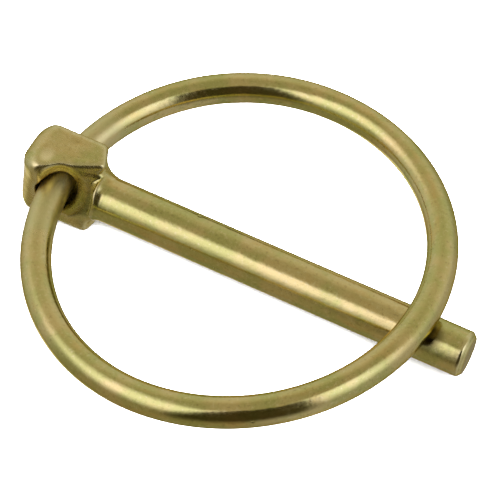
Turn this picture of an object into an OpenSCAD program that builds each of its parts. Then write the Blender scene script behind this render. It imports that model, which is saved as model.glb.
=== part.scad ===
// Lynch pin: a one-piece forged pin with a cross-drilled head and a sprung split wire ring.
// The ring's two ends sit in the head's cross hole, and the ring swings on that hole.
// Millimetres. +X runs along the shank from the head to the tip, +Y along the cross hole,
// +Z up. The origin is on the shank's axis, level with the head's inner face.

/* [Ring] */
// Clear inside diameter of the ring
ring_inner_d = 37.2; // [32:0.4:44]
// Diameter of the ring's spring wire
wire_d = 3.2; // [2.6:0.1:3.4]
// Angle between the planes of neighbouring quarters of the sprung, twisted ring
ring_twist = 5.4; // [0:0.2:7]
// Space between the wire's two ends inside the head
end_gap = 0.4; // [0.2:0.1:0.8]

/* [Shank] */
// Diameter of the shank
shank_d = 4.8; // [4.2:0.1:5.4]
// How far the tip stands past the middle of the closed ring's wire
tip_past = 5.2; // [3.5:0.1:8]
// Size of the chamfer round the tip
tip_chamfer = 0.45; // [0.2:0.05:0.8]
// Radius of the hollow neck between the head and the shank
neck_round = 1.8; // [1.2:0.1:2.2]
// Radius of the round collar that the neck grows from
collar_r = 2.9; // [2.8:0.1:3.4]

/* [Head] */
// Length of the head along the shank, outer end to inner face
head_l = 7.8; // [7.6:0.1:8.8]
// Height of the head, across both the shank and the cross hole
head_h = 8; // [7.6:0.1:9]
// Width of the head along the cross hole
head_w = 6.4; // [6.2:0.1:7.4]
// Distance from the head's inner face back to the cross hole's axis
hole_back = 3.6; // [3.4:0.05:4]
// How far the forging sits off the shank's axis, along the cross hole
head_shift = 0.55; // [0:0.05:0.7]
// Rounding of the head's outer end, seen from the side
side_round = 2.8; // [1.6:0.1:3]
// Rounding of the head's outer end, seen from above
plan_round = 2.2; // [1.6:0.1:2.8]
// Rounding of the head's long edges
edge_round = 0.8; // [0.4:0.1:1.2]
// Radius of the ball that trims the head's corners, about the middle of the cross hole
ball_r = 5.6; // [5.2:0.1:6.4]

/* [Relief cuts] */
// Distance of each oblique flat from the middle of the cross hole
flat_dist = 2.5; // [2.3:0.05:3]
// Lean of each oblique flat away from level
flat_lean = 70.6; // [66:0.2:76]
// Turn of each oblique flat about the upright, from the shank's line
flat_turn = 62.4; // [58:0.2:68]
// Radius of the ball-shaped dish at each mouth of the cross hole
dish_r = 4; // [3.6:0.1:5]
// How deep each dish goes below the head's side
dish_deep = 1.8; // [1:0.1:1.9]

/* [Fits] */
// Least space between the swinging wire and the cross hole's wall
hole_clearance = 0.08; // [0.05:0.01:0.12]
// Space between the closed ring's wire and the shank
rest_gap = 0.04; // [0.02:0.01:0.08]

/* [Hidden] */
$fn = 96;

wire_r = wire_d / 2;
shank_r = shank_d / 2;
ring_r = ring_inner_d / 2 + wire_r;

// Each quarter of the ring is a true arc in its own leaning plane, and neighbours meet tangent.
// The wire crosses the ring's plane at end_lean on the far side and again inside the head.
end_lean = asin(tan(ring_twist / 2));
end_slope = sin(end_lean);

// The bent wire's wander inside the head sets where the ring hangs and how wide the hole is.
head_reach = head_w / 2 + head_shift;
ring_sag = pow(head_reach, 2) / (4 * ring_r);
wire_wander = sqrt(pow(ring_sag, 2) + pow(end_slope * head_reach, 2));
hole_r = wire_r + wire_wander + hole_clearance;

// Closed, the far side of the ring lies on the shank.
far_reach = 2 * ring_r - ring_sag;
far_rise = (shank_r + wire_r + rest_gap) / sqrt(1 - pow(end_slope, 2));
closed_tilt = asin(far_rise / far_reach);

hole_x = -hole_back;
tip_x = hole_x + far_reach * cos(closed_tilt) + tip_past;
neck_r = shank_r + neck_round;
collar_l = hole_back / 2;
big = 3 * head_h;

// The trimming ball's middle sits inside and below the hole's, and the dish's inside and above it.
ball_x = 0.5;
ball_z = -0.4;
dish_x = 0.9;
dish_z = 1;
dish_y = head_w / 2 - dish_deep + dish_r;

pin();
ring();

// The head's outline: from its outer end to past the neck, h high, with the outer corners rounded.
module end_outline(h, r) {
    difference() {
        translate([-head_l, -h / 2]) square([head_l + neck_round, h]);
        for (side = [-1, 1])
            corner_waste(-head_l, side * h / 2, 1, -side, r);
    }
}

// The head's section across the shank, with all four corners rounded.
module cross_outline() {
    difference() {
        square([head_w, head_h], center = true);
        for (across = [-1, 1])
            for (side = [-1, 1])
                corner_waste(across * head_w / 2, side * head_h / 2, -across, -side, edge_round);
    }
}

// What rounding takes off one corner of an outline; dx and dy point into the outline.
module corner_waste(x, y, dx, dy, r) {
    difference() {
        translate([x + dx * r / 2, y + dy * r / 2]) square([r, r], center = true);
        translate([x + dx * r, y + dy * r]) circle(r = r);
    }
}

// The head's forged block with its middle on the cross hole's line, run on past the neck.
module head_block() {
    intersection() {
        rotate([90, 0, 0])
            linear_extrude(height = 2 * head_w, center = true)
                end_outline(head_h, side_round);
        linear_extrude(height = 2 * head_h, center = true)
            end_outline(head_w, plan_round);
        rotate([90, 0, 90])
            linear_extrude(height = big, center = true)
                cross_outline();
    }
}

// The hollow neck flaring from the shank out to the head's inner face, and all beyond that face.
module neck_envelope() {
    translate([-big, -big / 2, -big / 2]) cube([big, big, big]);
    neck(neck_r);
}

// The hollow neck turned about X, with a plain collar of the given radius behind it.
module neck(radius) {
    rotate([0, 90, 0])
        rotate_extrude()
            difference() {
                translate([0, -collar_l]) square([radius, collar_l + neck_round]);
                translate([neck_r, neck_round]) circle(r = neck_round);
            }
}

// The oblique flat beside the hole's -Y mouth, cut off the forged block alone.
module oblique_flat() {
    translate([hole_x, -head_shift, 0])
        rotate([0, flat_lean, -flat_turn])
            translate([0, 0, flat_dist + big / 2])
                cube(big, center = true);
}

// The dish round the hole's -Y mouth, which runs out over the collar.
module dish() {
    translate([hole_x + dish_x, -dish_y, dish_z])
        sphere(r = dish_r);
}

module head() {
    translate([0, head_shift, 0])
        difference() {
            intersection() {
                head_block();
                translate([0, -head_shift, 0]) neck_envelope();
                translate([hole_x + ball_x, 0, ball_z]) sphere(r = ball_r);
            }
            oblique_flat();
            rotate([180, 0, 0]) oblique_flat();
        }
    neck(collar_r);
}

// The turned shank along X, from its root inside the head to the chamfered tip.
module shank() {
    rotate([0, 90, 0])
        rotate_extrude()
            polygon([
                [0, -hole_back / 4],
                [shank_r, -hole_back / 4],
                [shank_r, tip_x - tip_chamfer],
                [shank_r - tip_chamfer, tip_x],
                [0, tip_x]
            ]);
}

module pin() {
    color([0.72, 0.62, 0.32])
        difference() {
            union() {
                head();
                shank();
            }
            translate([hole_x, 0, 0])
                rotate([90, 0, 0])
                    cylinder(r = hole_r, h = 3 * head_w, center = true);
            translate([0, head_shift, 0]) {
                dish();
                rotate([180, 0, 0]) dish();
            }
        }
}

// One run of the ring's wire, starting at 0 along +Y and bending towards -X.
module wire_run(angle) {
    translate([-ring_r, 0, 0])
        rotate_extrude(angle = angle)
            translate([ring_r, 0])
                circle(r = wire_r);
}

// Half of the ring, from the middle of its far side round to the wire's end, which stops
// the given distance short of the head's middle line.
module half_ring(short) {
    translate([ring_r, 0, 0])
        rotate([-end_lean, 0, 0])
            rotate([0, ring_twist / 2, 0]) {
                wire_run(90);
                translate([-ring_r, ring_r, 0])
                    rotate([0, -ring_twist, 90])
                        wire_run(90 - short / ring_r * 180 / PI);
            }
}

module ring() {
    color([0.74, 0.65, 0.36])
        translate([hole_x, 0, 0])
            rotate([0, -closed_tilt, 0])
                translate([ring_r - ring_sag, 0, 0]) {
                    half_ring(end_gap / 2 + head_shift);
                    rotate([180, 0, 0]) half_ring(end_gap / 2 - head_shift);
                }
}
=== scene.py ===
"""Looks of a lynch pin: a forged, yellow-plated pin and the sprung wire ring that swings in it.

Everything is in metres in the part's own frame. +X runs along the shank from the head to the tip,
+Y along the head's cross hole, +Z up. Shapes are worked out in millimetres and scaled once.
"""

import logging
import math
from dataclasses import dataclass, field
from enum import Enum
from typing import Any, Mapping, Optional, Sequence, Union

import bpy
import bmesh
import numpy as np
from mathutils import Matrix, Vector, noise

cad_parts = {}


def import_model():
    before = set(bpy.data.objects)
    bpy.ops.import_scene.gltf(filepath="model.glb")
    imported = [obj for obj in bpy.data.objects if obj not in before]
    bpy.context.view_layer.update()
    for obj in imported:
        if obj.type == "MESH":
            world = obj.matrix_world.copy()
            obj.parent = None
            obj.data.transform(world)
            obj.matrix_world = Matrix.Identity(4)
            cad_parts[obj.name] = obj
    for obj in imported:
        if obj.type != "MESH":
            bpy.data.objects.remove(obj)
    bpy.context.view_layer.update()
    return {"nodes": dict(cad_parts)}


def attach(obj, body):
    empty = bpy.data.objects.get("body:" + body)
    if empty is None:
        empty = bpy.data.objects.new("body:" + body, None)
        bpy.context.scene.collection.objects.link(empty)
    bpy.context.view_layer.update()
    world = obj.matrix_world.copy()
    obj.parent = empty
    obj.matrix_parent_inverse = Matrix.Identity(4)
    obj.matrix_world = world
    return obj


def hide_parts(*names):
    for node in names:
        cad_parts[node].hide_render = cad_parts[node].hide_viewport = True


log = logging.getLogger("lynch_pin")

MM = 0.001

Colour = tuple[float, float, float]
Triple = tuple[float, float, float]
Array = np.ndarray

# Where a share is 0, and where it is 1.
Span = tuple[float, float]


class Lay(Enum):
    """Which coordinates a finish's grain follows: the piece's own, or an attribute's."""

    SHANK = "own"
    WIRE = "wire_lay"


class Bench:
    """Builds nodes in one tree."""

    def __init__(self, tree: bpy.types.NodeTree) -> None:
        """Starts on a tree, whose own nodes are dropped."""
        self.tree = tree
        tree.nodes.clear()

    def node(
        self,
        kind: str,
        settings: Optional[Mapping[str, Any]] = None,
        inputs: Optional[Mapping[Union[str, int], Any]] = None,
    ) -> bpy.types.Node:
        """Adds one node.

        Args:
            kind: the node's type name.
            settings: properties set first; "stops" holds a ramp's (place, colour) pairs.
            inputs: value, socket or signal for each input, by name or index.

        Returns:
            The new node.
        """
        made = self.tree.nodes.new(kind)
        for key, value in (settings or {}).items():
            if key == "stops":
                self._set_stops(made.color_ramp, value)
            else:
                setattr(made, key, value)
        for key, value in (inputs or {}).items():
            self.feed(made.inputs[key], value)
        return made

    def feed(self, socket: bpy.types.NodeSocket, value: Any) -> None:
        """Links a socket or signal into an input, or sets its plain value.

        Args:
            socket: the input.
            value: a socket or signal to link, or a plain value.
        """
        if isinstance(value, Signal):
            value = value.socket
        if isinstance(value, bpy.types.NodeSocket):
            self.tree.links.new(value, socket)
        else:
            socket.default_value = value

    def signal(self, kind: str, settings: Optional[Mapping[str, Any]] = None,
               inputs: Optional[Mapping[Union[str, int], Any]] = None,
               output: Union[str, int] = 0) -> "Signal":
        """Adds a node and wraps one of its outputs."""
        return Signal(self, self.node(kind, settings, inputs).outputs[output])

    def blend(self, share: "Signal", first: Any, second: Any) -> "Signal":
        """Mixes two colours: a share of 0 gives the first one, and 1 the second."""
        return self.signal(
            "ShaderNodeMix", {"data_type": "RGBA", "clamp_factor": True},
            {0: share, 6: rgba(first), 7: rgba(second)}, 2)

    @staticmethod
    def _set_stops(ramp: bpy.types.ColorRamp, stops: Sequence[tuple[float, Colour]]) -> None:
        """Gives a ramp its stops.

        Args:
            ramp: the ramp, whose own stops are dropped.
            stops: place and colour of each stop, in order of place.
        """
        while len(ramp.elements) > 1:
            ramp.elements.remove(ramp.elements[-1])
        for index, (place, colour) in enumerate(stops):
            stop = ramp.elements[0] if index == 0 else ramp.elements.new(place)
            stop.position = place
            stop.color = rgba(colour)


def rgba(colour: Any) -> Any:
    """Gives a plain colour an alpha of one, and leaves sockets and signals alone."""
    return (*colour, 1.0) if isinstance(colour, tuple) and len(colour) == 3 else colour


class Signal:
    """One value in a shader, which Python's arithmetic turns into Math nodes."""

    def __init__(self, bench: Bench, socket: bpy.types.NodeSocket) -> None:
        """Wraps a socket of the bench's tree."""
        self.bench = bench
        self.socket = socket

    def _math(self, operation: str, first: Any, second: Any) -> "Signal":
        """Adds one Math node on two numbers, sockets or signals."""
        return self.bench.signal(
            "ShaderNodeMath", {"operation": operation}, {0: first, 1: second})

    def __add__(self, other: Any) -> "Signal":
        """Sum."""
        return self._math("ADD", self, other)

    __radd__ = __add__

    def __sub__(self, other: Any) -> "Signal":
        """Difference."""
        return self._math("SUBTRACT", self, other)

    def __rsub__(self, other: Any) -> "Signal":
        """Difference, the other way round."""
        return self._math("SUBTRACT", other, self)

    def __mul__(self, other: Any) -> "Signal":
        """Product."""
        return self._math("MULTIPLY", self, other)

    __rmul__ = __mul__

    def band(self, zero: float, one: float) -> "Signal":
        """Goes smoothly from 0 at the first value to 1 at the second, which may be the lesser."""
        return self.bench.signal(
            "ShaderNodeMapRange", {"interpolation_type": "SMOOTHSTEP"},
            {"Value": self, "From Min": zero, "From Max": one})


def placed(name: str, data: bpy.types.ID) -> bpy.types.Object:
    """Puts an object into the scene, at the origin.

    Args:
        name: the object's name.
        data: its mesh, light or camera.

    Returns:
        The object.
    """
    made = bpy.data.objects.new(name, data)
    bpy.context.scene.collection.objects.link(made)
    return made


def made_plain(holder: bpy.types.Object, name: str) -> bpy.types.Mesh:
    """Turns an object's modifiers into a plain mesh, and removes the object and its own mesh.

    Args:
        holder: the object.
        name: the plain mesh's name.

    Returns:
        The plain mesh.
    """
    graph = bpy.context.evaluated_depsgraph_get()
    mesh = bpy.data.meshes.new_from_object(holder.evaluated_get(graph), depsgraph=graph)
    rough = holder.data
    bpy.data.objects.remove(holder)
    bpy.data.meshes.remove(rough)
    mesh.name = name
    return mesh


class Hue(Enum):
    """The colours of the plate, of what it covers and of what lies on it, and of a painted
    highlight and a painted shade.
    """

    GOLD = (0.72, 0.58, 0.23)
    OLIVE = (0.56, 0.53, 0.17)
    BRONZE = (0.71, 0.51, 0.17)
    BARE = (0.84, 0.73, 0.38)
    HIGHLIGHT_CREAM = (0.98, 0.84, 0.44)
    GRIME = (0.16, 0.11, 0.03)
    CROSSING_SHADE = (0.10, 0.065, 0.015)
    RIM = (0.58, 0.48, 0.22)


class Mask(Enum):
    """What a finish can follow over a surface, by the name of its attribute where it has one."""

    PATCHES = "patches"
    CLOUDS = "clouds"
    GRAIN = "grain"
    SPECKLE = "speckle"
    RIPPLE = "ripple"
    NICKS = "nicks"
    WORN = "worn"
    WEAR = "wear"
    SUNK = "sunk"
    RECESS_DARKENING = "dirt"
    FORGED = "forged"
    # Painted highlight: a cream patch on the head's top.
    PAINTED_HIGHLIGHT = "rubbed"
    SCUFFED = "scuffed"
    # Painted shade where the ring crosses the shank.
    PAINTED_CROSSING_SHADE = "fretting"


@dataclass(frozen=True)
class Pattern:
    """Noise that gives a mask, with its size along and across the lay."""

    mask: Mask
    along_mm: float
    across_mm: float
    detail: float
    shift: float = 0.0
    roughness: float = 0.6

    def over(self, bench: Bench, place: Signal) -> Signal:
        """Lays the noise over a surface.

        Args:
            bench: the tree's bench.
            place: the point's place in millimetres, with X along the lay.

        Returns:
            The noise, between 0 and 1.
        """
        scaled = bench.signal("ShaderNodeMapping", {"vector_type": "POINT"}, {
            "Vector": place, "Location": (self.shift, -self.shift, 0.5 * self.shift),
            "Scale": (1 / self.along_mm, 1 / self.across_mm, 1 / self.across_mm)})
        return bench.signal("ShaderNodeTexNoise", None, {
            "Vector": scaled, "Scale": 1.0, "Detail": self.detail, "Roughness": self.roughness})


@dataclass(frozen=True)
class Share:
    """How strongly something follows a mask, over the whole of it or over a span of it."""

    mask: Mask
    strength: float = 1.0
    span: Optional[Span] = None

    def of(self, masks: Mapping[Mask, Signal]) -> Signal:
        """The mask, or how far it is through the span, times the strength."""
        mask = masks[self.mask]
        return (mask.band(*self.span) if self.span else mask) * self.strength


@dataclass(frozen=True)
class YellowPlate:
    """Zinc plate with a yellow passivate, over forged or drawn steel.

    Tints are laid over one another in order, from plain gold up. Dulling adds to the roughness of
    the smooth plate, and relief to the bump.
    """

    patterns: tuple[Pattern, ...] = (
        Pattern(Mask.PATCHES, 4.5, 4.5, 3.0), Pattern(Mask.CLOUDS, 4.5, 5 / 3, 2.0, 11.0),
        Pattern(Mask.GRAIN, 6.0, 0.16, 4.0), Pattern(Mask.SPECKLE, 0.35, 0.35, 2.5, 3.0),
        Pattern(Mask.RIPPLE, 13 / 6, 1.3, 2.0, 7.0))
    tints: tuple[tuple[Hue, Share], ...] = (
        (Hue.OLIVE, Share(Mask.PATCHES, 1.0, (0.38, 0.62))),
        (Hue.BRONZE, Share(Mask.CLOUDS, 0.7, (0.52, 0.78))),
        (Hue.BARE, Share(Mask.SPECKLE, 0.45, (0.54, 0.75))),
        (Hue.GRIME, Share(Mask.SPECKLE, 0.22, (0.45, 0.28))),
        (Hue.BRONZE, Share(Mask.GRAIN, 0.45, (0.56, 0.78))),
        (Hue.BARE, Share(Mask.WEAR, 0.45)),
        # Painted highlight: a cream patch on the head's top.
        (Hue.HIGHLIGHT_CREAM, Share(Mask.PAINTED_HIGHLIGHT, 0.85)),
        (Hue.GRIME, Share(Mask.NICKS, 0.3)),
        (Hue.BARE, Share(Mask.SCUFFED, 0.4)),
        # Darker in the hole's mouths, the dishes and the neck's root.
        (Hue.GRIME, Share(Mask.RECESS_DARKENING, 0.12)),
        # Painted shade where the ring crosses the shank.
        (Hue.CROSSING_SHADE, Share(Mask.PAINTED_CROSSING_SHADE, 0.8)))
    smooth: float = 0.12
    dulling: tuple[Share, ...] = (
        Share(Mask.SPECKLE, 0.05, (0.3, 0.75)), Share(Mask.GRAIN, 0.05, (0.3, 0.75)),
        Share(Mask.FORGED, 0.10), Share(Mask.SCUFFED, 0.22), Share(Mask.RECESS_DARKENING, 0.15),
        Share(Mask.NICKS, 0.15))
    bump_mm: float = 0.02
    relief: tuple[Share, ...] = (
        Share(Mask.GRAIN, 0.15), Share(Mask.SPECKLE, 0.2), Share(Mask.RIPPLE, 1.4),
        Share(Mask.NICKS, -1.0))
    wear_spread: float = 0.35
    wear_span: Span = (0.25, 0.75)
    recess_spread: float = 0.4
    recess_span: Span = (0.15, 0.9)
    nick_stretch: Triple = (0.7, 1.1, 1.1)
    nick_turn: Triple = (0.3, 0.2, 0.5)
    nicks_per_mm: float = 0.8
    nick_span: Span = (0.13, 0.03)
    nick_choice: Span = (0.7, 0.95)
    # Middle and reach of the painted shade where the ring crosses the shank.
    crossing_shade_at: Triple = (37.3, -1.3, 2.9)
    crossing_shade_mm: float = 2.3
    crossing_shade_span: Span = (1.0, 0.5)
    coat: float = 0.15
    coat_roughness: float = 0.12
    coat_ior: float = 1.45

    def material(self, name: str, lay: Lay) -> bpy.types.Material:
        """Builds the finish's material.

        Args:
            name: the material's name.
            lay: whether the grain runs along the shank or along the wire.

        Returns:
            The material.
        """
        made = bpy.data.materials.new(name)
        made.use_nodes = True
        bench = Bench(made.node_tree)
        masks = self._masks(bench, lay)
        colour: Any = Hue.GOLD.value
        for hue, share in self.tints:
            colour = bench.blend(share.of(masks), colour, hue.value)
        bump = bench.signal("ShaderNodeBump", None, {
            "Strength": 1.0, "Distance": self.bump_mm * MM,
            "Height": sum(share.of(masks) for share in self.relief)})
        shader = bench.node("ShaderNodeBsdfPrincipled", None, {
            "Base Color": colour, "Metallic": 1.0, "Normal": bump,
            "Roughness": sum((share.of(masks) for share in self.dulling), self.smooth),
            "Specular Tint": rgba(Hue.RIM.value), "Coat Weight": self.coat,
            "Coat Roughness": self.coat_roughness, "Coat IOR": self.coat_ior})
        bench.node("ShaderNodeOutputMaterial", None, {"Surface": shader.outputs[0]})
        return made

    def _masks(self, bench: Bench, lay: Lay) -> dict[Mask, Signal]:
        """Builds the finish's masks.

        Args:
            bench: the tree's bench.
            lay: whether the grain runs along the shank or along the wire.

        Returns:
            The masks.
        """
        spot = self._in_mm(bench, bench.signal("ShaderNodeTexCoord", output="Object"))
        place = spot if lay is Lay.SHANK else self._in_mm(bench, bench.signal(
            "ShaderNodeAttribute", {"attribute_name": lay.value}, output="Vector"))
        masks = {pattern.mask: pattern.over(bench, place) for pattern in self.patterns}
        for mask in (Mask.WORN, Mask.SUNK, Mask.FORGED, Mask.PAINTED_HIGHLIGHT, Mask.SCUFFED):
            masks[mask] = bench.signal(
                "ShaderNodeAttribute", {"attribute_name": mask.value}, output="Fac")
        wear = masks[Mask.WORN] * (masks[Mask.SPECKLE] + self.wear_spread)
        # Darker and duller in the hole's mouths, the dishes and the neck's root, in clouds.
        dirt = masks[Mask.SUNK] * (masks[Mask.CLOUDS] + self.recess_spread)
        masks[Mask.WEAR] = wear.band(*self.wear_span)
        masks[Mask.RECESS_DARKENING] = dirt.band(*self.recess_span)
        masks[Mask.NICKS] = self._nicks(bench, place)
        masks[Mask.PAINTED_CROSSING_SHADE] = self._painted_crossing_shade(bench, spot)
        return masks

    @staticmethod
    def _in_mm(bench: Bench, place: Signal) -> Signal:
        """Turns a place in metres into one in millimetres."""
        return bench.signal(
            "ShaderNodeVectorMath", {"operation": "SCALE"}, {0: place, "Scale": 1 / MM})

    def _painted_crossing_shade(self, bench: Bench, spot: Signal) -> Signal:
        """Painted shade on the shank where the closed ring crosses it.

        Args:
            bench: the tree's bench.
            spot: the point's place in the part, in millimetres.

        Returns:
            The share of painted shade, 1 at its middle.
        """
        away = bench.signal(
            "ShaderNodeVectorMath", {"operation": "DISTANCE"}, {0: spot, 1: self.crossing_shade_at},
            output="Value")
        return (away * (1 / self.crossing_shade_mm)).band(*self.crossing_shade_span)

    def _nicks(self, bench: Bench, place: Signal) -> Signal:
        """Sparse small handling marks.

        Args:
            bench: the tree's bench.
            place: the point's place in millimetres, with X along the lay.

        Returns:
            The share of marking, 1 at the middle of each mark.
        """
        bent = bench.signal("ShaderNodeMapping", {"vector_type": "POINT"}, {
            "Vector": place, "Scale": self.nick_stretch, "Rotation": self.nick_turn})
        cells = bench.node(
            "ShaderNodeTexVoronoi", {"feature": "F1"}, {"Vector": bent, "Scale": self.nicks_per_mm})
        near = Signal(bench, cells.outputs["Distance"]).band(*self.nick_span)
        pick = bench.signal("ShaderNodeSeparateColor", None, {0: cells.outputs["Color"]})
        return near * pick.band(*self.nick_choice)


@dataclass
class PinSizes:
    """The pin's sizes in millimetres and degrees, with its forging's softer and skewed corners."""

    shank_r: float = 2.4
    tip_x: float = 41.622
    tip_chamfer: float = 0.45
    neck_round: float = 1.8
    collar_r: float = 2.9
    collar_taper: float = 0.22
    taper_x: float = 0.5
    head_l: float = 7.8
    head_h: float = 8.0
    head_w: float = 6.4
    hole_x: float = -3.6
    hole_r: float = 1.928
    head_shift: float = 0.55
    side_round: float = 2.1
    front_round: tuple[float, float] = (1.75, 2.8)
    front_round_z: tuple[float, float] = (-3.0, 1.5)
    back_round: float = 1.5
    edge_round: float = 0.9
    ball_r: float = 5.6
    ball_at: Triple = (0.4, 0.0, -0.3)
    ball_skew: tuple[float, float] = (1.06, 0.99)
    flat_dist: float = 2.58
    flat_lean: float = 70.6
    flat_turn: float = 62.4
    flat_reach: float = 0.62
    lip: tuple[float, float] = (1.0, 0.45)
    lip_across: Span = (3.0, 0.8)
    lip_up: Span = (2.3, 3.7)
    dish_r: float = 4.0
    dish_deep: tuple[float, float] = (2.27, 1.8)
    dish_at: tuple[float, float] = (1.0, 1.85)
    dish_narrow: float = 0.64


def soft_max(first: Array, second: Array, round_mm: float) -> Array:
    """The greater of two signed distances, with the crease between them rounded over a width."""
    near = np.maximum(round_mm - np.abs(first - second), 0) / round_mm
    return np.maximum(first, second) + near * near * round_mm / 4


def soft_min(first: Array, second: Array, round_mm: float) -> Array:
    """The smaller of two distances, with the corner between them filleted."""
    return -soft_max(-first, -second, round_mm)


def corner_distance(first: Array, second: Array) -> Array:
    """How far points are outside a square corner, from how far they are past its two sides."""
    outside = np.hypot(np.maximum(first, 0), np.maximum(second, 0))
    return outside + np.minimum(np.maximum(first, second), 0)


def ramp(values: Array, zero: float, one: float) -> Array:
    """Goes evenly from 0 to 1 between two values, and stays level outside them."""
    return np.clip((values - zero) / (one - zero), 0, 1)


def mean_of_neighbours(values: Array, pairs: Array) -> Array:
    """The mean over each vertex's neighbours.

    Args:
        values: one row a vertex.
        pairs: the vertices at each edge's ends.

    Returns:
        One row a vertex.
    """
    total = np.zeros_like(values)
    count = len(values)
    ends = np.concatenate([pairs[:, 0], pairs[:, 1]])
    other = np.concatenate([pairs[:, 1], pairs[:, 0]])
    for axis in range(values.shape[1]):
        total[:, axis] = np.bincount(ends, values[other, axis], count)
    return total / np.maximum(np.bincount(ends, minlength=count), 1)[:, None]


@dataclass(frozen=True)
class Dent:
    """A small handling dent, in millimetres."""

    at: Triple
    half_width: float
    depth: float


@dataclass
class ForgedPin:
    """The one-piece pin: forged head, hollow neck, turned shank and chamfered tip.

    Sizes are in millimetres. Each span along X says where what is forged gives way to what is
    turned. A dent on the shank has its place along it, the degrees round it from -Y towards +Z,
    its half width and its depth.
    """

    sizes: PinSizes = field(default_factory=PinSizes)
    finish: YellowPlate = field(default_factory=YellowPlate)
    grid_mm: float = 0.115
    mesh_rounds: int = 2
    relax_rounds: int = 6
    relax_share: float = 0.5
    settle_rounds: int = 3
    settle_mm: float = 0.15
    slope_step_mm: float = 0.01
    forge_rounds: int = 11
    forge_round: float = 0.5
    fillet_round: float = 0.35
    flare_round: float = 0.4
    ridge_round: float = 0.45
    root_round: float = 0.05
    tip_round: float = 0.1
    soft_x: Span = (0.4, -0.4)
    dull_x: Span = (1.0, -0.2)
    uneven_x: Span = (1.2, -0.3)
    forge_mm: float = 0.035
    forge_lumps: tuple[tuple[float, float], ...] = ((0.75, 1.0), (2.3, 0.35))
    turn_mm: float = 0.006
    turn_lines: tuple[float, float] = (0.35, 1.4)
    bore_margin: float = 0.1
    worn_rounds: int = 3
    worn_lift: float = 0.0035
    mouth_past: Span = (0.78, 0.18)
    mouth_across: Span = (2.6, 1.4)
    root_x: float = 0.9
    root_width: float = 0.7
    root_share: float = 0.6
    # Size and middle of the painted highlight on the head's top, with the shallow dent under it.
    highlight_spot_mm: Triple = (0.7, 0.95, 1.0)
    rubbed: Dent = Dent((-5.05, -0.53, 3.95), 0.7, 0.07)
    head_dents: tuple[Dent, ...] = (
        Dent((-3.2, 1.9, 4.0), 0.5, 0.05), Dent((-5.3, 2.2, 3.4), 0.4, 0.05),
        Dent((-1.4, 0.9, 4.0), 0.35, 0.045))
    shank_dents: tuple[tuple[float, float, float, float], ...] = (
        (6.2, 78, 0.30, 0.03), (11.4, 118, 0.22, 0.035), (17.8, 100, 0.26, 0.03),
        (23.5, 140, 0.35, 0.03), (28.1, 128, 0.24, 0.025), (33.9, 95, 0.3, 0.035),
        (39.4, 88, 0.25, 0.03), (20.6, -60, 0.3, 0.03), (30.2, -110, 0.26, 0.03))

    def build(self, node: bpy.types.Object) -> bpy.types.Object:
        """Builds and dresses the pin over its solid.

        Args:
            node: the pin's solid, which is copied and left as it is.

        Returns:
            The finished piece.
        """
        mesh = self._in_millimetres(node)
        for _ in range(self.mesh_rounds):
            mesh = self._even_mesh(mesh)
            spots, pairs = self._settled(mesh)
            mesh.vertices.foreach_set("co", spots.ravel())
        softness = self.relax_share * ramp(spots[:, :1], *self.soft_x)
        for _ in range(self.forge_rounds):
            spots += softness * (mean_of_neighbours(spots, pairs) - spots)
        normals = self._slope(spots)
        lift = np.einsum("ij,ij->i", spots - mean_of_neighbours(spots, pairs), normals)
        for _ in range(self.worn_rounds):
            lift = mean_of_neighbours(lift[:, None], pairs)[:, 0]
        spots += normals * self._unevenness(spots)[:, None]
        mesh.vertices.foreach_set("co", (spots * MM).ravel())
        # The painted highlight's share, greatest at its middle.
        from_highlight_spot = (((spots - self.rubbed.at) / self.highlight_spot_mm) ** 2).sum(axis=1)
        for mask, values in (
                (Mask.WORN, np.clip(lift / self.worn_lift, 0, 1)),
                (Mask.PAINTED_HIGHLIGHT, np.exp(-(from_highlight_spot ** 2))),
                (Mask.SUNK, self._shelter(spots)),
                (Mask.FORGED, ramp(spots[:, 0], *self.dull_x))):
            layer = mesh.attributes.new(mask.value, "FLOAT", "POINT")
            layer.data.foreach_set("value", values.astype(np.float32))
        mesh.polygons.foreach_set("use_smooth", [True] * len(mesh.polygons))
        mesh.update()
        mesh.materials.clear()
        mesh.materials.append(self.finish.material("yellow_plate_forged", Lay.SHANK))
        return placed("forged_pin", mesh)

    @staticmethod
    def _in_millimetres(node: bpy.types.Object) -> bpy.types.Mesh:
        """Copies the solid's mesh as a closed one.

        Args:
            node: the pin's solid, in metres.

        Returns:
            The copy, in millimetres.
        """
        work = bmesh.new()
        work.from_mesh(node.data)
        bmesh.ops.scale(work, vec=(1 / MM,) * 3, verts=work.verts)
        bmesh.ops.remove_doubles(work, verts=work.verts, dist=1e-4)
        mesh = bpy.data.meshes.new("pin_rough")
        work.to_mesh(mesh)
        work.free()
        return mesh

    def _even_mesh(self, rough: bpy.types.Mesh) -> bpy.types.Mesh:
        """Builds an even quad mesh over a rough one, which is used up.

        Args:
            rough: a closed mesh in millimetres.

        Returns:
            The even mesh, in millimetres.
        """
        holder = placed("pin_rough", rough)
        grid = holder.modifiers.new("even", "REMESH")
        grid.mode = "VOXEL"
        grid.voxel_size = self.grid_mm
        return made_plain(holder, "forged_pin")

    def _settled(self, mesh: bpy.types.Mesh) -> tuple[Array, Array]:
        """Spreads a mesh's vertices evenly over the pin's form.

        Args:
            mesh: an even mesh close to the form, in millimetres.

        Returns:
            The vertices' new places, and the vertices at each edge's ends.
        """
        spots = np.zeros(len(mesh.vertices) * 3)
        mesh.vertices.foreach_get("co", spots)
        spots = spots.reshape(-1, 3)
        pairs = np.zeros(len(mesh.edges) * 2, np.int64)
        mesh.edges.foreach_get("vertices", pairs)
        pairs = pairs.reshape(-1, 2)
        for _ in range(self.relax_rounds):
            spots += self.relax_share * (mean_of_neighbours(spots, pairs) - spots)
            spots = self._settle(spots)
        return spots, pairs

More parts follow.
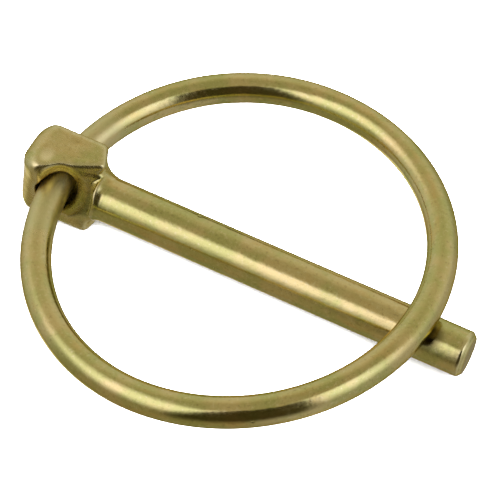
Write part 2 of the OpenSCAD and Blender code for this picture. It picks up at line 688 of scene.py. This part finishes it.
    def _slope(self, spots: Array) -> Array:
        """The outward normal of the pin's form.

        Args:
            spots: one point a row.

        Returns:
            One unit vector a row.
        """
        slope = np.zeros_like(spots)
        for axis in range(3):
            nudge = np.zeros(3)
            nudge[axis] = self.slope_step_mm
            slope[:, axis] = self.form(spots + nudge) - self.form(spots - nudge)
        return slope / np.maximum(np.linalg.norm(slope, axis=1), 1e-9)[:, None]

    def _settle(self, spots: Array) -> Array:
        """Moves points onto the pin's form.

        Args:
            spots: one point a row, close to the form.

        Returns:
            The moved points.
        """
        for _ in range(self.settle_rounds):
            reach = np.clip(self.form(spots), -self.settle_mm, self.settle_mm)
            spots = spots - self._slope(spots) * reach[:, None]
        return spots

    def form(self, spots: Array) -> Array:
        """How far each point is outside the finished pin, in millimetres.

        Args:
            spots: one point a row.

        Returns:
            Signed distances, negative inside.
        """
        size = self.sizes
        x, y, z = spots.T
        radius = np.hypot(y, z)
        hollow = size.neck_round - np.hypot(
            x - size.neck_round, radius - size.shank_r - size.neck_round)
        neck = self._neck(x, radius, hollow)
        body = soft_min(self._head(spots, hollow), neck, self.fillet_round)
        body = soft_min(body, self._shank(x, radius), self.root_round)
        for flat in self._flats(spots):
            body = soft_max(body, np.minimum(flat, size.flat_reach - x), self.ridge_round)
        hole = size.hole_r - np.hypot(x - size.hole_x, z)
        body = soft_max(body, hole, self.fillet_round)
        for dish in self._dishes(spots):
            body = soft_max(body, dish, self.forge_round)
        return body

    def _head(self, spots: Array, hollow: Array) -> Array:
        """The forged block, its neck side, trimming ball and oblique flats.

        Args:
            spots: one point a row.
            hollow: distances inside the neck's hollow.

        Returns:
            Signed distances, negative inside.
        """
        size = self.sizes
        x, y, z = spots.T
        across, up, radius = np.abs(y - size.head_shift), np.abs(z), np.hypot(y, z)
        front_round = np.interp(z, size.front_round_z, size.front_round)
        plan_round = np.where(y > size.head_shift, size.back_round, front_round)
        block = np.maximum.reduce([
            self._rounded_end(x, up, size.head_h, size.side_round),
            self._rounded_end(x, across, size.head_w, plan_round),
            self._rounded_bar(across, up)])
        neck = np.maximum.reduce([
            x - size.neck_round, radius - size.shank_r - size.neck_round, hollow])
        lip = np.where(z > 0, *size.lip)
        lip = lip * ramp(y * np.sign(z), *size.lip_across) * ramp(up, *size.lip_up)
        block = soft_max(block, np.minimum(x - lip, neck), self.flare_round)
        block = soft_max(block, self._ball(spots), self.fillet_round)
        for flat in self._flats(spots):
            block = soft_max(block, flat, self.fillet_round)
        return block

    def _flats(self, spots: Array) -> list[Array]:
        """The oblique flats beside the hole's two mouths.

        Args:
            spots: one point a row.

        Returns:
            Signed distances from each flat, negative inside.
        """
        size = self.sizes
        lean, turn = math.radians(size.flat_lean), math.radians(size.flat_turn)
        flats = []
        for side, offset in ((-1, 0.0), (1, 2 * size.head_shift)):
            facing = np.array([
                math.sin(lean) * math.cos(turn), side * math.sin(lean) * math.sin(turn),
                -side * math.cos(lean)])
            flats.append((spots - (size.hole_x, offset, 0)) @ facing - size.flat_dist)
        return flats

    def _dishes(self, spots: Array) -> list[Array]:
        """The ball-shaped dishes at the hole's two mouths, each narrowed on its outer half.

        Args:
            spots: one point a row.

        Returns:
            Distances inside each dish, negative outside it.
        """
        size = self.sizes
        dishes = []
        for side, deep in zip((-1, 1), size.dish_deep):
            out = side * (size.head_w / 2 - deep + size.dish_r) + size.head_shift
            middle = (size.hole_x + size.dish_at[0], out, -side * size.dish_at[1])
            along, across, up = (spots - middle).T
            along = along / np.where(along < 0, size.dish_narrow, 1.0)
            dishes.append(size.dish_r - np.sqrt(along ** 2 + across ** 2 + up ** 2))
        return dishes

    def _ball(self, spots: Array) -> Array:
        """The ball that trims the corners, skewed as the forging is.

        Args:
            spots: one point a row.

        Returns:
            Signed distances, negative inside.
        """
        size = self.sizes
        along, across, up = (spots - np.add(size.ball_at, (size.hole_x, size.head_shift, 0))).T
        long, short = size.ball_skew
        high = (across + up) * math.sqrt(0.5) / long
        low = (up - across) * math.sqrt(0.5) / short
        return np.sqrt(along ** 2 + high ** 2 + low ** 2) - size.ball_r

    def _rounded_end(
            self, x: Array, out: Array, width: float, corner: Union[float, Array]) -> Array:
        """A strip along X that ends at the head's outer end with rounded corners.

        Args:
            x: place along the shank.
            out: distance from the strip's middle line.
            width: the strip's width.
            corner: the corners' radius.

        Returns:
            Signed distances, negative inside.
        """
        past = -self.sizes.head_l + corner - x
        wide = out - width / 2 + corner
        return corner_distance(past, wide) - corner

    def _rounded_bar(self, across: Array, up: Array) -> Array:
        """The head's section across the shank, run on along it.

        Args:
            across: distance from the middle along the cross hole.
            up: distance from the middle along Z.

        Returns:
            Signed distances, negative inside.
        """
        size = self.sizes
        wide = across - size.head_w / 2 + size.edge_round
        tall = up - size.head_h / 2 + size.edge_round
        return corner_distance(wide, tall) - size.edge_round

    def _neck(self, x: Array, radius: Array, hollow: Array) -> Array:
        """The turned collar and hollow neck behind the shank.

        Args:
            x: place along the shank.
            radius: distance from the shank's axis.
            hollow: distances inside the neck's hollow.

        Returns:
            Signed distances, negative inside.
        """
        size = self.sizes
        collar = radius - size.collar_r - size.collar_taper * (size.taper_x - x)
        return np.maximum.reduce([size.hole_x / 2 - x, x - size.neck_round, collar, hollow])

    def _shank(self, x: Array, radius: Array) -> Array:
        """The turned shank with its chamfered tip.

        Args:
            x: place along the shank.
            radius: distance from the shank's axis.

        Returns:
            Signed distances, negative inside.
        """
        size = self.sizes
        cone = (x + radius - size.tip_x + size.tip_chamfer - size.shank_r) * math.sqrt(0.5)
        tip = soft_max(x - size.tip_x, cone, self.tip_round)
        bar = soft_max(radius - size.shank_r, tip, self.tip_round)
        return np.maximum(bar, size.hole_x / 4 - x)

    def _unevenness(self, spots: Array) -> Array:
        """The forging's and turning's small departures from the true form, never outward.

        Args:
            spots: one point a row.

        Returns:
            Millimetres out of the form at each point, none above 0.
        """
        size = self.sizes
        forged = ramp(spots[:, 0], *self.uneven_x)
        along, around = self.turn_lines
        lumps = np.empty(len(spots))
        lines = np.empty(len(spots))
        for index, spot in enumerate(spots):
            point = Vector(spot)
            lumps[index] = sum(
                weight * noise.noise(point * per_mm) for per_mm, weight in self.forge_lumps)
            lines[index] = noise.noise(
                Vector((along * point.x, around * point.y, around * point.z)))
        depth = forged * self.forge_mm * (1 + lumps) / 2 + (1 - forged) * self.turn_mm * (1 + lines)
        for dent in self.dents():
            away = np.linalg.norm(spots - dent.at, axis=1)
            depth += dent.depth * np.exp(-((away / dent.half_width) ** 2))
        from_bore = np.hypot(spots[:, 0] - size.hole_x, spots[:, 2]) - size.hole_r
        return -np.where(from_bore < self.bore_margin, 0, np.maximum(depth, 0))

    def dents(self) -> list[Dent]:
        """All the dents, with those on the shank set on its surface.

        Returns:
            The dents.
        """
        radius = self.sizes.shank_r
        dents = []
        for along, degrees, half_width, depth in self.shank_dents:
            turn = math.radians(degrees)
            at = (along, -radius * math.cos(turn), radius * math.sin(turn))
            dents.append(Dent(at, half_width, depth))
        return [*dents, self.rubbed, *self.head_dents]

    def _shelter(self, spots: Array) -> Array:
        """How deep in a recess each point lies: the hole's mouths, the dishes and the neck's root.

        Args:
            spots: one point a row.

        Returns:
            Numbers between 0 and 1.
        """
        size = self.sizes
        from_bore = np.hypot(spots[:, 0] - size.hole_x, spots[:, 2]) - size.hole_r
        mouth = (ramp(from_bore, *self.mouth_past)
                 * ramp(np.abs(spots[:, 1] - size.head_shift), *self.mouth_across))
        root = self.root_share * np.exp(-(((spots[:, 0] - self.root_x) / self.root_width) ** 2))
        return np.maximum(mouth, root)


@dataclass
class SpringRing:
    """The split wire ring: four leaning arcs that cross inside the head's hole.

    Sizes are in millimetres and degrees, apart from the unevenness's features, in each metre.
    """

    ring_r: float = 20.2
    wire_r: float = 1.6
    twist: float = 5.4
    end_gap: float = 0.4
    head_reach: float = 3.75
    head_shift: float = 0.55
    shank_r: float = 2.4
    rest_gap: float = 0.04
    hole_x: float = -3.6
    quarter_steps: int = 160
    along: int = 560
    around: int = 56
    uneven_mm: float = 0.012
    uneven_per_m: Triple = (260.0, 900.0, 900.0)
    uneven_detail: float = 2.0
    scuffed_mm: float = 6.5
    scuff_fade_mm: float = 3.25
    seed: int = 7
    finish: YellowPlate = field(default_factory=YellowPlate)

    def path(self) -> list[Vector]:
        """The wire's middle line.

        Returns:
            Points in metres, from one end round to the other.
        """
        lean = math.asin(math.tan(math.radians(self.twist / 2)))
        sag = self.head_reach ** 2 / (4 * self.ring_r)
        rise = (self.shank_r + self.wire_r + self.rest_gap) / math.sqrt(1 - math.sin(lean) ** 2)
        tilt = math.asin(rise / (2 * self.ring_r - sag))
        seat = (Matrix.Translation((self.hole_x, 0, 0)) @ Matrix.Rotation(-tilt, 4, "Y")
                @ Matrix.Translation((self.ring_r - sag, 0, 0)))
        one = self._half(lean, self.end_gap / 2 + self.head_shift)
        other = self._half(lean, self.end_gap / 2 - self.head_shift)
        turned = [Matrix.Rotation(math.pi, 4, "X") @ spot for spot in other]
        return [(seat @ spot) * MM for spot in turned[::-1] + one[1:]]

    def wire_length(self) -> float:
        """The length of the wire's middle line, in metres."""
        spots = self.path()
        return sum((after - before).length for before, after in zip(spots, spots[1:]))

    def _half(self, lean: float, short: float) -> list[Vector]:
        """Half of the ring's middle line, in the ring's own frame, in millimetres.

        Args:
            lean: the wire's crossing angle on the far side, in radians.
            short: how far the wire stops before the head's middle line.

        Returns:
            Points from the far side round to the wire's end.
        """
        twist = math.radians(self.twist)
        place = (Matrix.Translation((self.ring_r, 0, 0)) @ Matrix.Rotation(-lean, 4, "X")
                 @ Matrix.Rotation(twist / 2, 4, "Y"))
        onward = (place @ Matrix.Translation((-self.ring_r, self.ring_r, 0))
                  @ Matrix.Rotation(math.pi / 2, 4, "Z") @ Matrix.Rotation(-twist, 4, "Y"))
        steps = self.quarter_steps
        quarter = math.pi / 2
        last = quarter - short / self.ring_r
        first_run = [place @ self._arc(quarter * step / steps) for step in range(steps + 1)]
        return first_run + [
            onward @ self._arc(last * step / steps) for step in range(1, steps + 1)]

    def _arc(self, angle: float) -> Vector:
        """A point on an arc that starts at the origin along +Y and bends towards -X."""
        return Vector((self.ring_r * (math.cos(angle) - 1), self.ring_r * math.sin(angle), 0))

    def build(self) -> bpy.types.Object:
        """Sweeps the wire along its path and dresses it.

        Returns:
            The finished piece.
        """
        line = bpy.data.meshes.new("ring_line")
        spots = self.path()
        line.from_pydata(spots, [(n, n + 1) for n in range(len(spots) - 1)], [])
        holder = placed("ring_line", line)
        tree = self._tree()
        sweep = holder.modifiers.new("sweep", "NODES")
        sweep.node_group = tree
        values = {
            "Wire Radius": self.wire_r * MM, "Along": self.along, "Around": self.around,
            "Unevenness": self.uneven_mm * MM, "Seed": self.seed,
            "Finish": self.finish.material("yellow_plate_wire", Lay.WIRE)}
        for item in tree.interface.items_tree:
            if item.in_out == "INPUT" and item.name in values:
                sweep[item.identifier] = values[item.name]
        return placed("spring_ring", made_plain(holder, "spring_ring"))

    def _tree(self) -> bpy.types.NodeTree:
        """The node tree that sweeps a round, slightly uneven wire along a line.

        Returns:
            The tree, with its sizes, seed and finish as named inputs.
        """
        tree = bpy.data.node_groups.new("wire_sweep", "GeometryNodeTree")
        face = tree.interface
        face.new_socket("Geometry", in_out="INPUT", socket_type="NodeSocketGeometry")
        for name, kind in (("Wire Radius", "Float"), ("Along", "Int"), ("Around", "Int"),
                           ("Unevenness", "Float"), ("Seed", "Int"), ("Finish", "Material")):
            face.new_socket(name, in_out="INPUT", socket_type="NodeSocket" + kind)
        face.new_socket("Geometry", in_out="OUTPUT", socket_type="NodeSocketGeometry")
        bench = Bench(tree)
        given = bench.node("NodeGroupInput").outputs
        wire, travel, lay = self._swept(bench, given)
        total, near = self.wire_length(), self.scuffed_mm * MM
        far = near + self.scuff_fade_mm * MM
        scuffed = travel.band(far, near) + travel.band(total - far, total - near)
        wire = bench.node("GeometryNodeSetPosition", None, {
            "Geometry": self._kept(bench, wire, Mask.SCUFFED.value, "FLOAT", scuffed),
            "Offset": self._offset(bench, given, lay)})
        for kind in ("GeometryNodeSetShadeSmooth", "GeometryNodeRealizeInstances"):
            wire = bench.node(kind, None, {"Geometry": wire.outputs[0]})
        wire = bench.node("GeometryNodeSetMaterial", None, {
            "Geometry": wire.outputs[0], "Material": given["Finish"]})
        bench.node("NodeGroupOutput", None, {"Geometry": wire.outputs[0]})
        return tree

    def _swept(self, bench: Bench, given: Any) -> tuple[bpy.types.NodeSocket, Signal, Signal]:
        """Sweeps the wire's round section along its line.

        Args:
            bench: the tree's bench.
            given: the tree's inputs.

        Returns:
            The wire, each point's distance along it, and that distance with the point's place in
            the section.
        """
        line = bench.node("GeometryNodeMeshToCurve", None, {"Mesh": given["Geometry"]})
        line = bench.node("GeometryNodeResampleCurve", None, {
            "Curve": line.outputs[0], "Count": given["Along"]})
        run = bench.node("GeometryNodeSplineParameter").outputs["Length"]
        ring = bench.node("GeometryNodeCurvePrimitiveCircle", {"mode": "RADIUS"}, {
            "Resolution": given["Around"], "Radius": given["Wire Radius"]})
        spot = bench.node("GeometryNodeInputPosition").outputs[0]
        wire = bench.node("GeometryNodeCurveToMesh", None, {
            "Curve": self._kept(bench, line.outputs[0], "run", "FLOAT", run),
            "Profile Curve": self._kept(bench, ring.outputs[0], "section", "FLOAT_VECTOR", spot),
            "Fill Caps": True})
        section = bench.node("ShaderNodeSeparateXYZ", None, {0: bench.signal(
            "GeometryNodeInputNamedAttribute", {"data_type": "FLOAT_VECTOR"},
            {"Name": "section"})})
        travel = bench.signal(
            "GeometryNodeInputNamedAttribute", {"data_type": "FLOAT"}, {"Name": "run"})
        lay = bench.signal("ShaderNodeCombineXYZ", None, {
            0: travel, 1: section.outputs[0], 2: section.outputs[1]})
        laid = self._kept(bench, wire.outputs[0], Lay.WIRE.value, "FLOAT_VECTOR", lay)
        return laid, travel, lay

    def _offset(self, bench: Bench, given: Any, lay: Signal) -> Signal:
        """The drawn wire's unevenness, which only goes inward.

        Args:
            bench: the tree's bench.
            given: the tree's inputs.
            lay: each point's distance along the wire and place in its section.

        Returns:
            Each point's offset.
        """
        place = bench.signal(
            "ShaderNodeVectorMath", {"operation": "MULTIPLY"}, {0: lay, 1: self.uneven_per_m})
        wave = bench.signal("ShaderNodeTexNoise", {"noise_dimensions": "4D"}, {
            "Vector": place, "W": given["Seed"], "Scale": 1.0, "Detail": self.uneven_detail})
        depth = (wave - 1.0) * Signal(bench, given["Unevenness"]) * 2.0
        normal = bench.signal("GeometryNodeInputNormal")
        return bench.signal(
            "ShaderNodeVectorMath", {"operation": "SCALE"}, {0: normal, "Scale": depth})

    @staticmethod
    def _kept(bench: Bench, shape: bpy.types.NodeSocket, name: str, kind: str,
              value: Any) -> bpy.types.NodeSocket:
        """Keeps a value on a shape's points, as an attribute of that name and data type."""
        return bench.node("GeometryNodeStoreNamedAttribute", {"data_type": kind}, {
            "Geometry": shape, "Name": name, "Value": value}).outputs[0]


@dataclass(frozen=True)
class Glow:
    """A soft-edged patch of the surroundings.

    Azimuths run from -Y towards +X, in degrees. Each range gives where the patch starts, is full,
    starts to fade and ends.
    """

    colour: Colour
    azimuths: tuple[float, float, float, float]
    elevations: tuple[float, float, float, float]

    def share(self, azimuth: Signal, elevation: Signal) -> Signal:
        """How much of the patch is seen in a direction.

        Args:
            azimuth: the direction's azimuth in degrees.
            elevation: its elevation in degrees.

        Returns:
            The share, from 0 to 1.
        """
        start, full, fade, end = self.azimuths
        low, risen, high, top = self.elevations
        around = azimuth.band(start, full) * azimuth.band(end, fade)
        return around * elevation.band(low, risen) * elevation.band(top, high)


def from_angles(azimuth: float, elevation: float) -> Vector:
    """The unit vector at an azimuth from -Y towards +X and an elevation, both in degrees."""
    turn, lift = math.radians(azimuth), math.radians(elevation)
    level = math.cos(lift)
    return Vector((math.sin(turn) * level, -math.cos(turn) * level, math.sin(lift)))


@dataclass
class Studio:
    """The pale floor, the lamp over it, the surroundings and the camera.

    The back wall is graded from straight down to straight up, and the glows are laid over it.
    """

    target: Vector = field(default_factory=lambda: Vector((0.0166, 0, 0)))
    azimuth: float = 23.997
    elevation: float = 55.351
    roll: float = 3.385
    distance: float = 0.24964
    lens: float = 180.0
    sensor: float = 36.0
    clip_start: float = 0.01
    frame_px: float = 500.0
    target_px: tuple[float, float] = (240.36, 256.64)
    floor_z: float = -0.004
    floor_half: float = 3.0
    floor_colour: Colour = (0.9, 0.9, 0.89)
    floor_roughness: float = 0.9
    floor_shine: float = 0.1
    lamp_power: float = 90.0
    lamp_size: float = 1.2
    lamp_height: float = 0.8
    back_wall: tuple[tuple[float, Colour], ...] = (
        (0.0, (0.34, 0.34, 0.36)), (0.18, (0.33, 0.33, 0.34)), (0.28, (0.39, 0.39, 0.39)),
        (0.38, (0.52, 0.53, 0.58)), (0.55, (0.62, 0.63, 0.68)), (0.70, (0.62, 0.60, 0.56)),
        (0.78, (0.54, 0.50, 0.42)), (0.86, (0.42, 0.39, 0.30)), (1.0, (0.41, 0.38, 0.31)))
    glows: tuple[Glow, ...] = (
        Glow((1.35, 1.45, 2.10), (-180, -160, -90, -68), (-82, -66, -54, -42)),
        Glow((0.55, 0.55, 0.62), (56, 74, 112, 132), (-88, -74, -56, -40)),
        Glow((0.45, 0.45, 0.47), (40, 60, 200, 201), (-68, -54, -8, 22)),
        Glow((0.32, 0.29, 0.21), (-85, -42, 20, 50), (-66, -52, -6, 24)),
        Glow((1.50, 1.47, 1.86), (-112, -52, -6, 1), (10, 42, 55, 70)),
        Glow((1.40, 1.46, 1.90), (53, 62, 82, 128), (4, 46, 61, 74)),
        Glow((0.055, 0.045, 0.018), (-14, -2, 51, 62), (-40, 4, 60, 67)),
    )

    def build(self) -> None:
        """Sets the whole stage."""
        self._floor()
        self._lamp()
        self._surroundings()
        self._camera()
        bpy.context.scene.view_settings.view_transform = "Standard"

    def _floor(self) -> None:
        """A plain pale floor under the part."""
        half = self.floor_half
        mesh = bpy.data.meshes.new("floor")
        mesh.from_pydata(
            [(-half, -half, self.floor_z), (half, -half, self.floor_z),
             (half, half, self.floor_z), (-half, half, self.floor_z)], [], [(0, 1, 2, 3)])
        floor = placed("floor", mesh)
        paint = bpy.data.materials.new("pale_floor")
        paint.use_nodes = True
        bench = Bench(paint.node_tree)
        shader = bench.node("ShaderNodeBsdfPrincipled", None, {
            "Base Color": rgba(self.floor_colour), "Roughness": self.floor_roughness,
            "Specular IOR Level": self.floor_shine})
        bench.node("ShaderNodeOutputMaterial", None, {"Surface": shader.outputs[0]})
        mesh.materials.append(paint)
        floor.visible_glossy = False

    def _lamp(self) -> None:
        """A broad overhead lamp that only lights the floor."""
        data = bpy.data.lights.new("overhead", "AREA")
        data.size = self.lamp_size
        data.energy = self.lamp_power
        lamp = placed("overhead", data)
        lamp.location = self.target + Vector((0, 0, self.lamp_height))
        lamp.visible_glossy = False

    def _surroundings(self) -> None:
        """The graded back wall and the glows over it, for the plate to reflect."""
        world = bpy.data.worlds.new("studio")
        world.use_nodes = True
        bpy.context.scene.world = world
        bench = Bench(world.node_tree)
        toward = bench.node("ShaderNodeSeparateXYZ", None, {
            0: bench.node("ShaderNodeTexCoord").outputs["Generated"]}).outputs
        degree = math.degrees(1)
        azimuth = bench.signal(
            "ShaderNodeMath", {"operation": "ARCTAN2"},
            {0: toward[0], 1: Signal(bench, toward[1]) * -1}) * degree
        elevation = bench.signal(
            "ShaderNodeMath", {"operation": "ARCSINE"}, {0: toward[2]}) * degree
        colour = bench.signal(
            "ShaderNodeValToRGB", {"stops": self.back_wall}, {0: elevation * (1 / 180) + 0.5})
        for glow in self.glows:
            colour = bench.blend(glow.share(azimuth, elevation), colour, glow.colour)
        shade = bench.node("ShaderNodeBackground", None, {"Color": colour, "Strength": 1.0})
        bench.node("ShaderNodeOutputWorld", None, {"Surface": shade.outputs[0]})

    def _camera(self) -> None:
        """The camera, aimed so that the target lands where it should with no shift."""
        data = bpy.data.cameras.new("camera")
        data.lens = self.lens
        data.sensor_width = self.sensor
        data.clip_start = self.clip_start
        back = from_angles(self.azimuth, self.elevation)
        right = (-back).cross(Vector((0, 0, 1))).normalized()
        up = right.cross(-back)
        roll = math.radians(self.roll)
        right, up = (right * math.cos(roll) + up * math.sin(roll),
                     up * math.cos(roll) - right * math.sin(roll))
        focal = self.lens / self.sensor * self.frame_px
        middle = self.frame_px / 2
        ahead = (-back + right * ((middle - self.target_px[0]) / focal)
                 - up * ((middle - self.target_px[1]) / focal)).normalized()
        right = (right - ahead * right.dot(ahead)).normalized()
        up = right.cross(ahead)
        turn = Matrix((right, up, -ahead)).transposed().to_4x4()
        camera = placed("camera", data)
        camera.matrix_world = Matrix.Translation(self.target + back * self.distance) @ turn
        bpy.context.scene.camera = camera


def main() -> None:
    """Builds the stage and the pieces, in order, and ties each to its body."""
    logging.basicConfig(level=logging.INFO, format="%(name)s: %(message)s")
    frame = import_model()
    Studio().build()
    pin = ForgedPin().build(frame["nodes"]["pin"])
    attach(pin, "pin")
    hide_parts("pin")
    log.info("%s: %d faces", pin.name, len(pin.data.polygons))
    ring = SpringRing().build()
    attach(ring, "ring")
    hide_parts("ring")
    log.info("%s: %d faces", ring.name, len(ring.data.polygons))


if __name__ == "__main__":
    main()
